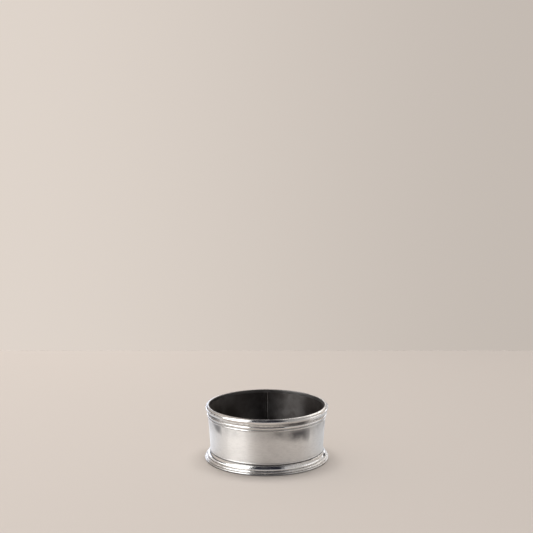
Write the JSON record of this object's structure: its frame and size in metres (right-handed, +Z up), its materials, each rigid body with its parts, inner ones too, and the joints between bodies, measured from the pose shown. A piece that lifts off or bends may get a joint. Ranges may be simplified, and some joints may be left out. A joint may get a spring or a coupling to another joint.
{
  "type": "wine bottle coaster",
  "caption": "Low round pewter stand with a moulded rim and foot, which holds a wine bottle upright and keeps drips off the table.",
  "frame": {"origin": "centre of the underside, on the table, in the felt's lower face", "axes": "+Z up along the coaster's axis, -Y towards the picture's front, +Y towards the band's seam"},
  "size_m": [0.1, 0.1, 0.0436],
  "materials": {
    "band_pewter": "satin pewter, faintly brushed round the band, with soft grey tarnish",
    "bright_pewter": "hand-polished pewter, dull in the grooves",
    "solder": "dull grey solder, uneven and darkened",
    "floor_pewter": "turned pewter, worn and dull from bottles",
    "felt": "dark brown baize"
  },
  "bodies": {
    "root": {"wall_band": "band_pewter", "band_seam": "solder", "lip_ring": "bright_pewter", "lip_solder": "solder", "collar_ring": "bright_pewter", "collar_wire": "bright_pewter", "foot_wire": "bright_pewter", "foot_solder": "solder", "foot_ring": "bright_pewter", "floor_plate": "floor_pewter", "floor_solder": "solder", "base_felt": "felt"}
  },
  "joints": []
}
